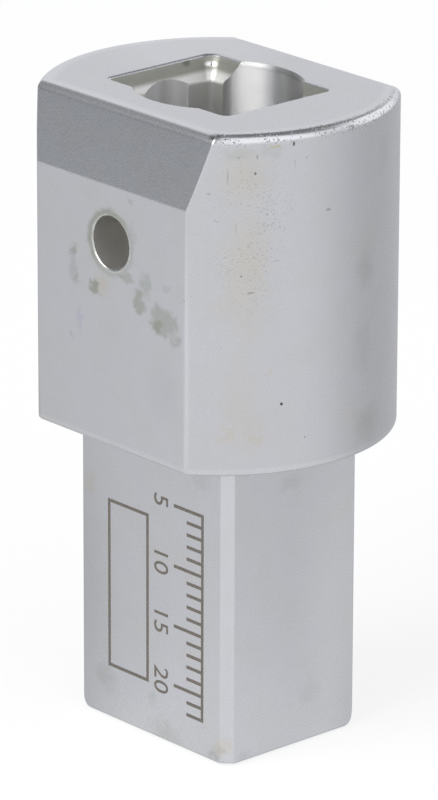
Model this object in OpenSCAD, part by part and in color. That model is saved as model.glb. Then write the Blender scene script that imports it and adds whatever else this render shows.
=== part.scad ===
// Insert adapter for torque wrenches: a male 14 x 18 spigot below, a female 9 x 12 socket above.
// All lengths are in millimetres. The origin is the centre of the spigot's end face and +Z runs
// towards the socket. X is the wide way of spigot and socket, Y is the narrow way.

/* [Head] */
// Diameter of the turned head
head_d = 28; // [26:0.5:36]
// Distance across the two flats of the head
head_flats_w = 22; // [20:0.5:25]
// Height of the head above the shoulder
head_h = 27; // [25:0.5:36]
// Angle by which the top of each flat leans inwards, in degrees
taper_angle = 14; // [5:1:20]
// Height of the leaning face above the front flat
front_taper_h = 6; // [2:0.5:8]
// Height of the leaning face above the back flat
back_taper_h = 4; // [2:0.5:8]
// Radius on the top edge of the turned sides
head_top_round = 0.7; // [0.2:0.1:1]
// Radius on the bottom edge of the turned sides
head_bottom_round = 0.3; // [0.1:0.1:0.8]
// Small chamfer on the bottom edge of each flat
flat_break = 0.3; // [0.1:0.1:0.8]

/* [Spigot] */
// Width of the spigot, along X
spigot_w = 18; // [16:0.5:22]
// Thickness of the spigot, along Y
spigot_t = 14; // [13:0.5:18]
// Length of the spigot below the shoulder
spigot_l = 25; // [22:0.5:35]
// Chamfer on the four long edges
spigot_corner = 0.7; // [0.2:0.1:1.5]
// Chamfer round the end face
spigot_end_break = 0.3; // [0.2:0.1:1.5]

/* [Socket] */
// Width of the socket, along X
socket_w = 12.1; // [11:0.1:14]
// Thickness of the socket, along Y
socket_t = 9.1; // [8:0.1:11]
// Depth of the rectangular socket
socket_depth = 18; // [16:0.5:20]
// Diameter of the round hole bored before the socket is shaped
pilot_d = 13; // [10:0.5:14]
// Depth of the round hole beyond the socket's floor
pilot_extra = 2; // [1:0.5:3]
// Angle of the drill point at the bottom of the round hole, in degrees
drill_angle = 118; // [90:1:140]
// How far the mouth's chamfer widens the socket on each side along X
mouth_out_w = 0.6; // [0.2:0.1:1.2]
// How far the mouth's chamfer widens the socket on each side along Y
mouth_out_t = 0.9; // [0.2:0.1:1.2]
// Depth of the mouth's chamfer
mouth_out_h = 0.5; // [0.2:0.1:1.2]

/* [Release hole] */
// Diameter of the hole through the front wall
release_d = 4.2; // [3:0.1:6]
// Distance from the top face to the hole's centre
release_drop = 10.5; // [9:0.5:13]
// Depth of the 45 degree chamfer on its outer edge
release_sink = 0.2; // [0.1:0.1:1.2]

/* [Locking pin] */
// Diameter of the pin
pin_d = 5.5; // [4:0.1:6]
// Distance from the shoulder to the pin's centre
pin_drop = 14; // [10:0.5:15]
// How far the pin stands out of the spigot
pin_out = 2.5; // [2:0.1:3]
// Height of the rounded tip
pin_tip_h = 1.2; // [0.5:0.1:1.8]
// Thickness of the collar that stops the pin
collar_t = 1; // [0.6:0.1:1.5]
// Length of the pin behind its collar
pin_tail = 2; // [1:0.1:3]
// Running clearance of the pin and its collar, on the radius
pin_clear = 0.05; // [0.02:0.01:0.1]

/* [Pin bore] */
// Diameter of the blind hole for the pin
bore_d = 8; // [7.5:0.1:9]
// Depth of the blind hole
bore_depth = 10.5; // [10:0.1:11.5]
// Length of the pressed-in sleeve that keeps the pin in
sleeve_l = 2; // [1.5:0.1:2.5]
// How far the sleeve lies below the spigot's face
sleeve_sink = 0.1; // [0:0.05:0.3]
// Chamfer on the sleeve's outer lip
sleeve_break = 0.2; // [0.1:0.05:0.3]

/* [Spring] */
// Diameter of the spring wire
wire_d = 0.7; // [0.5:0.05:0.75]
// Number of turns
spring_turns = 5; // [4:0.5:5]
// Clearance between the spring and the wall of its hole
spring_side_clear = 0.2; // [0.1:0.05:0.4]
// Clearance between the spring's ends and their seats
spring_seat_clear = 0.02; // [0:0.01:0.05]

/* [Hidden] */
// Sides of a round surface, rings in one turn of the spring and sides of its wire
$fn = 96;
turn_rings = 24;
wire_sides = 8;
// How far every cut runs past the surface that it leaves
overrun = 1;

total_h = spigot_l + head_h;
head_r = head_d / 2;
flat_y = head_flats_w / 2;
front_taper_in = front_taper_h * tan(taper_angle);
back_taper_in = back_taper_h * tan(taper_angle);
release_z = total_h - release_drop;
pilot_depth = socket_depth + pilot_extra;
drill_point_h = pilot_d / 2 / tan(drill_angle / 2);

// The pin's axis runs along +Y, out of the spigot's back face
pin_z = spigot_l - pin_drop;
face_y = spigot_t / 2;
bore_floor_y = face_y - bore_depth;
sleeve_out_y = face_y - sleeve_sink;
sleeve_in_y = sleeve_out_y - sleeve_l;
collar_in_y = sleeve_in_y - collar_t;
tail_y = collar_in_y - pin_tail;
tip_y = face_y + pin_out;
tip_r = (pow(pin_d / 2, 2) + pow(pin_tip_h, 2)) / (2 * pin_tip_h);
collar_d = bore_d - 2 * pin_clear;

// The spring's centre line starts at the floor of the bore and ends at the collar
coil_r = bore_d / 2 - spring_side_clear - wire_d / 2;
coil_y0 = bore_floor_y + spring_seat_clear + wire_d / 2;
coil_y1 = collar_in_y - spring_seat_clear - wire_d / 2;
coil_pitch = (coil_y1 - coil_y0) / spring_turns;
coil_rings = round(spring_turns * turn_rings);

function coil_point(i) =
    let (a = 360 * spring_turns * i / coil_rings)
    [coil_r * cos(a), coil_r * sin(a), (coil_y1 - coil_y0) * i / coil_rings];

// Least distance between the wire's surfaces, measured between points a turn or so apart
coil_gap = min([
    for (i = [0 : coil_rings - turn_rings + 2])
        for (j = [i + turn_rings - 2 : min(i + turn_rings + 2, coil_rings)])
            norm(coil_point(i) - coil_point(j)) - wire_d
]);
echo(least_gap_between_turns = coil_gap);

// A bar along Z with chamfers on its four long edges and round its low end
module chamfered_bar(w, t, l, corner, end_break) {
    intersection() {
        linear_extrude(l)
            polygon([
                [w / 2 - corner, -t / 2], [w / 2, -t / 2 + corner],
                [w / 2, t / 2 - corner], [w / 2 - corner, t / 2],
                [corner - w / 2, t / 2], [-w / 2, t / 2 - corner],
                [-w / 2, corner - t / 2], [corner - w / 2, -t / 2]
            ]);
        end_chamfered_sheet(w, t, l, end_break);
        rotate([0, 0, 90])
            end_chamfered_sheet(t, w, l, end_break);
    }
}

// A slab w wide and t thick whose two low edges across its width are chamfered
module end_chamfered_sheet(w, t, l, end_break) {
    rotate([90, 0, 0])
        linear_extrude(t, center = true)
            polygon([
                [end_break - w / 2, 0], [w / 2 - end_break, 0],
                [w / 2, end_break], [w / 2, l],
                [-w / 2, l], [-w / 2, end_break]
            ]);
}

// A rectangular opening's chamfer: the opening's own size at z = 0 and wider by out_w and out_t on
// each side at z = h, from where it goes on for the overrun
module rectangular_flare(w, t, out_w, out_t, h) {
    past = (h + overrun) / h;
    intersection() {
        flare_sheet(w, t + 2 * past * out_t, past * out_w, past * h);
        rotate([0, 0, 90])
            flare_sheet(t, w + 2 * past * out_w, past * out_t, past * h);
    }
}

// A slab t thick, w wide at z = 0 and wider by out on each side at z = h
module flare_sheet(w, t, out, h) {
    rotate([90, 0, 0])
        linear_extrude(t, center = true)
            polygon([[-w / 2, 0], [w / 2, 0], [w / 2 + out, h], [-w / 2 - out, h]]);
}

// The turned outline of the head, with its top and bottom edges rounded
module turned_head() {
    rotate_extrude()
        union() {
            square([head_r - head_top_round, head_h]);
            translate([0, head_bottom_round])
                square([head_r, head_h - head_top_round - head_bottom_round]);
            translate([head_r - head_top_round, head_h - head_top_round])
                circle(head_top_round);
            square([head_r - head_bottom_round, head_bottom_round]);
            translate([head_r - head_bottom_round, head_bottom_round])
                circle(head_bottom_round);
        }
}

// The head's outline seen along X: two flats that lean inwards at the top
module flats_outline() {
    rotate([90, 0, 90])
        linear_extrude(head_d + 2 * overrun, center = true)
            polygon([
                [flat_break - flat_y, 0], [flat_y - flat_break, 0],
                [flat_y, flat_break], [flat_y, head_h - back_taper_h],
                [flat_y - back_taper_in, head_h], [front_taper_in - flat_y, head_h],
                [-flat_y, head_h - front_taper_h], [-flat_y, flat_break]
            ]);
}

// The socket: a round pilot hole with a rectangle shaped through it, chamfered at the mouth
module socket_cut() {
    translate([0, 0, total_h]) {
        translate([-socket_w / 2, -socket_t / 2, -socket_depth])
            cube([socket_w, socket_t, socket_depth + overrun]);
        translate([0, 0, -pilot_depth])
            cylinder(h = pilot_depth + overrun, d = pilot_d);
        translate([0, 0, -pilot_depth - drill_point_h])
            cylinder(h = drill_point_h, d1 = 0, d2 = pilot_d);
        translate([0, 0, -mouth_out_h])
            rectangular_flare(socket_w, socket_t, mouth_out_w, mouth_out_t, mouth_out_h);
    }
}

// The hole through the front wall, by which the mating tool's pin is pushed back
module release_cut() {
    translate([0, -flat_y, release_z])
        rotate([-90, 0, 0]) {
            translate([0, 0, -overrun])
                cylinder(h = flat_y + overrun, d = release_d);
            translate([0, 0, -overrun])
                cylinder(
                    h = release_sink + overrun,
                    d1 = release_d + 2 * (release_sink + overrun),
                    d2 = release_d
                );
        }
}

// Places its children on the pin's axis, with their own +Z along +Y
module on_pin_axis(y) {
    translate([0, y, pin_z])
        rotate([-90, 0, 0])
            children();
}

// Head and spigot, machined from one piece
module adapter_body() {
    color("#c3c5c8")
        difference() {
            union() {
                chamfered_bar(
                    spigot_w, spigot_t, spigot_l + overrun, spigot_corner, spigot_end_break
                );
                translate([0, 0, spigot_l])
                    intersection() {
                        turned_head();
                        flats_outline();
                    }
            }
            socket_cut();
            release_cut();
            on_pin_axis(bore_floor_y)
                cylinder(h = bore_depth + overrun, d = bore_d);
        }
}

// The ring pressed into the mouth of the pin's hole, which the collar stops against
module retaining_sleeve() {
    color("#a9abad")
        on_pin_axis(sleeve_in_y)
            difference() {
                union() {
                    cylinder(h = sleeve_l - sleeve_break, d = bore_d);
                    translate([0, 0, sleeve_l - sleeve_break])
                        cylinder(h = sleeve_break, d1 = bore_d, d2 = bore_d - 2 * sleeve_break);
                }
                translate([0, 0, -overrun])
                    cylinder(h = sleeve_l + 2 * overrun, d = pin_d + 2 * pin_clear);
            }
}

// The sprung pin: a rounded tip, a collar that stops it and a tail that centres the spring
module locking_pin() {
    color("#8f9296")
        union() {
            on_pin_axis(tail_y)
                intersection() {
                    cylinder(h = tip_y - tail_y, d = pin_d);
                    translate([0, 0, tip_y - tail_y - tip_r])
                        union() {
                            sphere(tip_r);
                            translate([0, 0, tail_y - tip_y])
                                cylinder(h = tip_y - tail_y, r = tip_r);
                        }
                }
            on_pin_axis(collar_in_y)
                cylinder(h = collar_t, d = collar_d);
        }
}

// The compression spring behind the pin, one unbroken wire
module pin_spring() {
    ring = [for (k = [0 : wire_sides - 1]) 360 * k / wire_sides];
    slope = atan(coil_pitch / (2 * PI * coil_r));
    points = [
        for (i = [0 : coil_rings])
            let (c = coil_point(i), a = 360 * spring_turns * i / coil_rings)
            let (out = [cos(a), sin(a), 0])
            let (side = [-sin(a) * sin(slope), cos(a) * sin(slope), -cos(slope)])
            for (b = ring) c + wire_d / 2 * (cos(b) * out + sin(b) * side)
    ];
    walls = [
        for (i = [0 : coil_rings - 1])
            for (k = [0 : wire_sides - 1])
                let (n = (k + 1) % wire_sides, p = i * wire_sides, q = p + wire_sides)
                each [[p + k, p + n, q + n], [p + k, q + n, q + k]]
    ];
    last = coil_rings * wire_sides;
    ends = [
        for (k = [1 : wire_sides - 2])
            each [[0, k + 1, k], [last, last + k, last + k + 1]]
    ];
    color("#77797c")
        on_pin_axis(coil_y0)
            polyhedron(points, concat(walls, ends));
}

adapter_body();
retaining_sleeve();
locking_pin();
pin_spring();
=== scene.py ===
"""Looks of an insert adapter for torque wrenches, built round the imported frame.

Lengths are written in millimetres, as on a drawing, and become metres when a piece is finished.
The origin is the centre of the spigot's end face and +Z runs towards the socket. X is the wide way
of spigot and socket, the release hole faces -Y and the locking pin points along +Y.
"""

import logging
import math
from collections.abc import Sequence
from dataclasses import dataclass
from enum import Enum

import bmesh
import bpy
from bmesh.types import BMEdge, BMesh, BMVert
from bpy.types import Material, Node, NodeSocket, NodeTree, Object
from mathutils import Matrix, Vector


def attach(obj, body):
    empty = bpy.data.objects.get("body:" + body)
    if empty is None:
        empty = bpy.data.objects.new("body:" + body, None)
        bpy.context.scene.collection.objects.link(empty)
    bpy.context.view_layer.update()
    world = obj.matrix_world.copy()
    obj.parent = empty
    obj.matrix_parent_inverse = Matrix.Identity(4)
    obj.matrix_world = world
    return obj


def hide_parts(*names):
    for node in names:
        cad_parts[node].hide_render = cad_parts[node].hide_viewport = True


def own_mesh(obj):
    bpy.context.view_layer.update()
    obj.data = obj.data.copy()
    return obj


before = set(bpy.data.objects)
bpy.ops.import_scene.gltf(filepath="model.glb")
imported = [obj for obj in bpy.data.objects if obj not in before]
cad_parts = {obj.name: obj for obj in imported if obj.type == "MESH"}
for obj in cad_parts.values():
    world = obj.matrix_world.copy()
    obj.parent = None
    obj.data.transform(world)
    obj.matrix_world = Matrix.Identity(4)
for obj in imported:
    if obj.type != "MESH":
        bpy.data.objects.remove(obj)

LOG = logging.getLogger("adapter")
MM = 0.001
IMAGE_HEIGHT_PX = 800
SENSOR_MM = 36.0
ROUND_MAP = "round_bore"
SHOULDER_Z = 25.0
TOP_Z = 52.0
PIN_Z = 11.0
WELD = 1e-5
GRAIN_DEPTH = 0.1
WARM_OFFSET = (31.0, 17.0, 5.0)
WARM_SCALE = 0.45
WARM_RANGE = (0.42, 0.66)
CLOUD_HEIGHT = 0.6
WHITE = (1.0, 1.0, 1.0)

Pair = tuple[float, float]
Place = tuple[float, float, float]
Colour = tuple[float, float, float]
Four = tuple[float, float, float, float]
Input = float | Sequence[float] | NodeSocket


class Side(Enum):
    """The two milled sides of the head. The value is the sign of Y there."""

    FRONT = -1
    BACK = 1


class Carve(Enum):
    """How a tool solid changes the solid that it meets."""

    JOIN = "UNION"
    CUT = "DIFFERENCE"


class Slot(Enum):
    """The record's material slots."""

    CHROME = "satin_chrome"
    SLEEVE = "sleeve_steel"
    PIN = "pin_steel"
    SPRING = "spring_steel"


# Meshes


def spread(start: float, end: float, steps: int) -> list[float]:
    """Evenly spaced values from start to end, with both ends."""
    return [start + (end - start) * step / steps for step in range(steps + 1)]


def arc(centre: Pair, radius: float, start: float, end: float, steps: int, z: float) -> list[Vector]:
    """Points along an arc at height z, from the start angle to the end angle in degrees."""
    return [Vector((centre[0] + radius * math.cos(angle), centre[1] + radius * math.sin(angle), z))
            for angle in map(math.radians, spread(start, end, steps))]


def drawn_in(size: float, depth: float) -> float:
    """How far a round edge of some radius draws a side in, at a depth below the face that it borders."""
    left = size - min(depth, size)
    return size - math.sqrt(max(size * size - left ** 2, 0.0))


def eased(value: float, low: float, high: float) -> float:
    """Rises smoothly from 0 at low to 1 at high."""
    share = min(max((value - low) / (high - low), 0.0), 1.0)
    return share * share * (3.0 - 2.0 * share)


def lofted(rings: Sequence[Sequence[Vector]]) -> BMesh:
    """Skins a closed solid over a stack of outlines with equally many points.

    Args:
        rings: the outlines from the bottom up, each counter-clockwise seen from above.

    Returns:
        The solid, with a face across its first and last outline.
    """
    bm = bmesh.new()
    seat = bm.verts.layers.int.new("seat")
    made = bmesh.ops.create_circle(bm, cap_ends=False, radius=1.0, segments=len(rings[0]))
    circle = sorted(made["verts"], key=lambda vert: math.atan2(vert.co.y, vert.co.x) % math.tau)
    for number, vert in enumerate(circle):
        vert[seat] = number
        vert.co = rings[0][number]
    edges = list(bm.edges)
    bmesh.ops.contextual_create(bm, geom=edges)
    for ring in rings[1:]:
        grown = bmesh.ops.extrude_edge_only(bm, edges=edges)["geom"]
        edges = [part for part in grown if isinstance(part, BMEdge)]
        for vert in (part for part in grown if isinstance(part, BMVert)):
            vert.co = ring[vert[seat]]
    bmesh.ops.contextual_create(bm, geom=edges)
    bmesh.ops.recalc_face_normals(bm, faces=bm.faces)
    return bm


def turned(profile: Sequence[Pair], steps: int, closed: bool = False) -> BMesh:
    """Turns a profile round the Z axis, as on a lathe.

    Args:
        profile: radius and height of each point in order.
        steps: the number of faces round the axis.
        closed: whether the last point joins the first, as for a ring.

    Returns:
        The turned solid.
    """
    bm = bmesh.new()
    verts = [bm.verts.new((radius, 0.0, height)) for radius, height in profile]
    pairs = list(zip(verts, verts[1:])) + ([(verts[-1], verts[0])] if closed else [])
    edges = [bm.edges.new(pair) for pair in pairs]
    bmesh.ops.spin(bm, geom=verts + edges, cent=(0.0, 0.0, 0.0), axis=(0.0, 0.0, 1.0),
                   dvec=(0.0, 0.0, 0.0), angle=math.tau, steps=steps, use_merge=True,
                   use_normal_flip=False, use_duplicate=False)
    bmesh.ops.remove_doubles(bm, verts=bm.verts, dist=WELD)
    bmesh.ops.recalc_face_normals(bm, faces=bm.faces)
    return bm


def along_y(side: Side, origin: Place) -> Matrix:
    """The matrix that turns a solid's own +Z out of one side and puts its origin in a place."""
    return Matrix.Translation(origin) @ Matrix.Rotation(-side.value * math.pi / 2, 4, "X")


def solid(name: str, bm: BMesh, dress: Sequence[Material]) -> Object:
    """Makes an object of a finished bmesh and frees it.

    Args:
        name: the object's name.
        bm: the mesh in millimetres.
        dress: its materials in slot order.

    Returns:
        The object, linked to the scene.
    """
    mesh = bpy.data.meshes.new(name)
    bm.to_mesh(mesh)
    bm.free()
    for material in dress:
        mesh.materials.append(material)
    made = bpy.data.objects.new(name, mesh)
    bpy.context.scene.collection.objects.link(made)
    return made


def carve(body: Object, tool: Object, how: Carve) -> None:
    """Joins a tool solid to a body or cuts it away, and removes the tool.

    Args:
        body: the solid that changes. Its new faces take the tool's material.
        tool: the solid that is used up.
        how: whether it is joined or cut.
    """
    step = body.modifiers.new("carve", "BOOLEAN")
    step.object, step.operation, step.solver = tool, how.value, "EXACT"
    step.material_mode = "TRANSFER"
    graph = bpy.context.evaluated_depsgraph_get()
    carved = bpy.data.meshes.new_from_object(body.evaluated_get(graph))
    body.modifiers.clear()
    before, body.data = body.data, carved
    bpy.data.meshes.remove(before)
    spent = tool.data
    bpy.data.objects.remove(tool)
    bpy.data.meshes.remove(spent)


def finish_piece(piece: Object, body: str, crease: float = 32.0) -> None:
    """Brings a piece to metres, shades it and lets it ride on its body.

    Args:
        piece: the object, still in millimetres.
        body: the body that it moves with.
        crease: edges sharper than this many degrees stay crisp.
    """
    mesh = piece.data
    mesh.transform(Matrix.Scale(MM, 4))
    mesh.shade_smooth()
    mesh.set_sharp_from_angle(angle=math.radians(crease))
    weighted = piece.modifiers.new("even_shading", "WEIGHTED_NORMAL")
    weighted.keep_sharp = True
    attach(piece, body)


# Node trees


@dataclass(frozen=True)
class Graph:
    """Adds nodes to one tree and links them."""

    tree: NodeTree

    def node(self, kind: str, inputs: dict[str | int, Input] | None = None, **settings: object) -> Node:
        """Adds a node.

        Args:
            kind: its type name.
            inputs: a value, or the socket that feeds it, for each input by name or number.
            settings: the node's own properties.

        Returns:
            The node.
        """
        made = self.tree.nodes.new(kind)
        for name, value in settings.items():
            setattr(made, name, value)
        for key, value in (inputs or {}).items():
            self.feed(made.inputs[key], value)
        return made

    def feed(self, socket: NodeSocket, value: Input) -> None:
        """Links a socket to another, or sets its value.

        Args:
            socket: the input.
            value: an output socket or a plain value.
        """
        if isinstance(value, NodeSocket):
            self.tree.links.new(value, socket)
        elif socket.type == "RGBA":
            socket.default_value = (*value, 1.0)
        else:
            socket.default_value = value

    def shade(self, inputs: dict[str, Input]) -> None:
        """Feeds inputs of the tree's own surface shader."""
        for name, value in inputs.items():
            self.feed(self.tree.nodes["Principled BSDF"].inputs[name], value)

    def maths(self, operation: str, *values: Input, clamp: bool = False) -> NodeSocket:
        """The output of a Math node, held between 0 and 1 if clamp is set."""
        inputs = dict(enumerate(values))
        return self.node("ShaderNodeMath", inputs, operation=operation, use_clamp=clamp).outputs[0]

    def times(self, first: Input, second: Input) -> NodeSocket:
        """The product of two values."""
        return self.maths("MULTIPLY", first, second)

    def vector(self, operation: str, *values: Input) -> NodeSocket:
        """The output of a Vector Math node, which is a plain value for a length or a dot product."""
        made = self.node("ShaderNodeVectorMath", dict(enumerate(values)), operation=operation)
        return made.outputs["Value" if operation in ("LENGTH", "DOT_PRODUCT") else "Vector"]

    def parts(self, place: Input) -> tuple[NodeSocket, ...]:
        """X, Y and Z of a place, and its distance from the Z axis."""
        out = self.vector("LENGTH", self.vector("MULTIPLY", place, (1.0, 1.0, 0.0)))
        return (*self.node("ShaderNodeSeparateXYZ", {0: place}).outputs, out)

    def ramp(self, value: Input, low: Input, high: Input, start: Input = 0.0,
             end: Input = 1.0) -> NodeSocket:
        """Maps a value smoothly from low..high to start..end.

        Args:
            value: the value.
            low: where the change starts.
            high: where it ends.
            start: the result below low.
            end: the result above high.

        Returns:
            The mapped value.
        """
        inputs = {"Value": value, "From Min": low, "From Max": high, "To Min": start, "To Max": end}
        made = self.node("ShaderNodeMapRange", inputs, interpolation_type="SMOOTHSTEP")
        return made.outputs[0]

    def noise(self, place: Input, scale: Input, detail: float, roughness: float = 0.5) -> Node:
        """A noise texture whose first output is a value."""
        return self.node("ShaderNodeTexNoise", {
            "Vector": place, "Scale": scale, "Detail": detail, "Roughness": roughness})

    def mix(self, share: Input, first: Input, second: Input, blend: str = "MIX") -> NodeSocket:
        """Two colours mixed, by the share of the second one."""
        inputs = {0: share, 6: first, 7: second}
        return self.node("ShaderNodeMix", inputs, data_type="RGBA", blend_type=blend).outputs[2]

    def tint(self, share: Input, colour: Input, tint: Input) -> NodeSocket:
        """A colour with a share of it multiplied by a tint."""
        return self.mix(share, colour, tint, "MULTIPLY")

    def group(self, tree: NodeTree, **inputs: Input) -> Node:
        """Places a shared node group, with a value or socket for each named input."""
        return self.node("ShaderNodeGroup", inputs, node_tree=tree)


def new_group(name: str, takes: dict[str, str], gives: dict[str, str]) -> tuple[Graph, Node, Node]:
    """Starts a shared node group.

    Args:
        name: the group's name.
        takes: the kind of each input socket by name.
        gives: the kind of each output socket by name.

    Returns:
        Its graph, its input node and its output node.
    """
    tree = bpy.data.node_groups.new(name, "ShaderNodeTree")
    for way, sockets in (("INPUT", takes), ("OUTPUT", gives)):
        for socket, kind in sockets.items():
            tree.interface.new_socket(name=socket, in_out=way, socket_type="NodeSocket" + kind)
    return Graph(tree), tree.nodes.new("NodeGroupInput"), tree.nodes.new("NodeGroupOutput")


def soft_mark_group() -> NodeTree:
    """A soft round or oval mark at one place of the surface.

    Returns:
        The group. Its Mask is 1 inside the mark and 0 outside.
    """
    graph, given, out = new_group(
        "soft_mark", {"Place": "Vector", "Centre": "Vector", "Reach": "Vector", "Softness": "Float"},
        {"Mask": "Float"})
    offset = graph.vector("SUBTRACT", given.outputs["Place"], given.outputs["Centre"])
    distance = graph.vector("LENGTH", graph.vector("DIVIDE", offset, given.outputs["Reach"]))
    inner = graph.maths("SUBTRACT", 1.0, given.outputs["Softness"])
    graph.feed(out.inputs["Mask"], graph.ramp(distance, inner, 1.0, 1.0, 0.0))
    return graph.tree


def metal_grain_group() -> NodeTree:
    """The grain of tumbled and plated steel: cloudy shade, fine grain and the bump of both.

    Returns:
        The group. Shade lies round 1, Warmth and Grain from 0 to 1, and Height feeds a Bump node.
    """
    graph, given, out = new_group(
        "metal_grain", {"Place": "Vector", "CloudSize": "Float", "Cloud": "Float", "GrainSize": "Float",
                        "Grain": "Float"},
        {"Shade": "Float", "Warmth": "Float", "Grain": "Float", "Height": "Float"})
    place = given.outputs["Place"]
    cloud_scale, grain_scale = (graph.maths("DIVIDE", 1.0, given.outputs[size])
                                for size in ("CloudSize", "GrainSize"))
    cloud = graph.noise(place, cloud_scale, 3.0, 0.55).outputs[0]
    grain = graph.noise(place, grain_scale, 2.0, 0.6).outputs[0]
    elsewhere = graph.vector("ADD", place, WARM_OFFSET)
    warm = graph.noise(elsewhere, graph.times(cloud_scale, WARM_SCALE), 2.0).outputs[0]
    swing, fine = (graph.times(graph.maths("SUBTRACT", texture, 0.5), given.outputs[strength])
                   for texture, strength in ((cloud, "Cloud"), (grain, "Grain")))
    graph.feed(out.inputs["Shade"], graph.maths("ADD", 1.0, graph.maths("ADD", swing, fine)))
    graph.feed(out.inputs["Warmth"], graph.ramp(warm, *WARM_RANGE))
    graph.feed(out.inputs["Grain"], grain)
    graph.feed(out.inputs["Height"], graph.maths("ADD", grain, graph.times(cloud, CLOUD_HEIGHT)))
    return graph.tree


@dataclass(frozen=True)
class Surface(Graph):
    """A material's graph, with its soft marks, the place on its object in millimetres and its grain."""

    soft_mark: NodeTree
    place: NodeSocket
    grain: Node

    def spot(self, place: Input, centre: Input, reach: Input, softness: float) -> NodeSocket:
        """The mask of one soft mark."""
        return self.group(self.soft_mark, Place=place, Centre=centre, Reach=reach,
                          Softness=softness).outputs["Mask"]

    def bump(self, strength: float, depth: float, height: Input, **below: Input) -> NodeSocket:
        """The normals of a relief some millimetres deep, laid over the Normal that is given."""
        return self.node("ShaderNodeBump", {
            "Strength": strength, "Distance": depth * MM, "Height": height, **below}).outputs[0]


@dataclass(frozen=True)
class Shared:
    """The node groups that the finishes share."""

    soft_mark: NodeTree
    metal_grain: NodeTree

    def start(self, name: str, cloud_size: float, cloud: float, grain_size: float,
              grain: float) -> tuple[Material, Surface]:
        """Starts a material with clouds and grain.

        Args:
            name: its name.
            cloud_size: the size of its clouds.
            cloud: their strength.
            grain_size: the size of its grain.
            grain: its strength.

        Returns:
            The material and its graph.
        """
        material = bpy.data.materials.new(name)
        material.use_nodes = True
        graph = Graph(material.node_tree)
        place = graph.vector("MULTIPLY", graph.node("ShaderNodeTexCoord").outputs["Object"], (1 / MM,) * 3)
        made = graph.group(self.metal_grain, Place=place, CloudSize=cloud_size, Cloud=cloud,
                           GrainSize=grain_size, Grain=grain)
        return material, Surface(material.node_tree, self.soft_mark, place, made)


class Stain(Enum):
    """Kinds of mark on the steel, each with its tint: discoloured spots, pits and scratches, and painted
    highlights, painted reflections and painted shade.
    """

    PIT = (0.12, 0.11, 0.10)
    WARM = (1.0, 0.955, 0.87)
    YELLOW = (0.90, 0.84, 0.58)
    OLIVE = (0.62, 0.65, 0.55)
    GREY = (0.74, 0.76, 0.75)
    BLUE = (0.86, 0.89, 0.97)
    DULL = (0.84, 0.84, 0.83)
    BRIGHT = (1.13, 1.13, 1.12)
    SCALE = (0.42, 0.425, 0.39)
    BURNISHED = (1.5, 1.5, 1.52)
    SCRATCH = (0.55, 0.56, 0.54)


@dataclass(frozen=True)
class Mark:
    """One soft mark on the steel."""

    centre: Place
    across: float
    up: float
    strength: float = 1.0
    softness: float = 0.7

    def mask(self, graph: Surface, place: NodeSocket) -> NodeSocket:
        """Its strength at each place, in a material's graph."""
        reach = (self.across, self.across, self.up)
        return graph.times(graph.spot(place, self.centre, reach, self.softness), self.strength)


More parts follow.
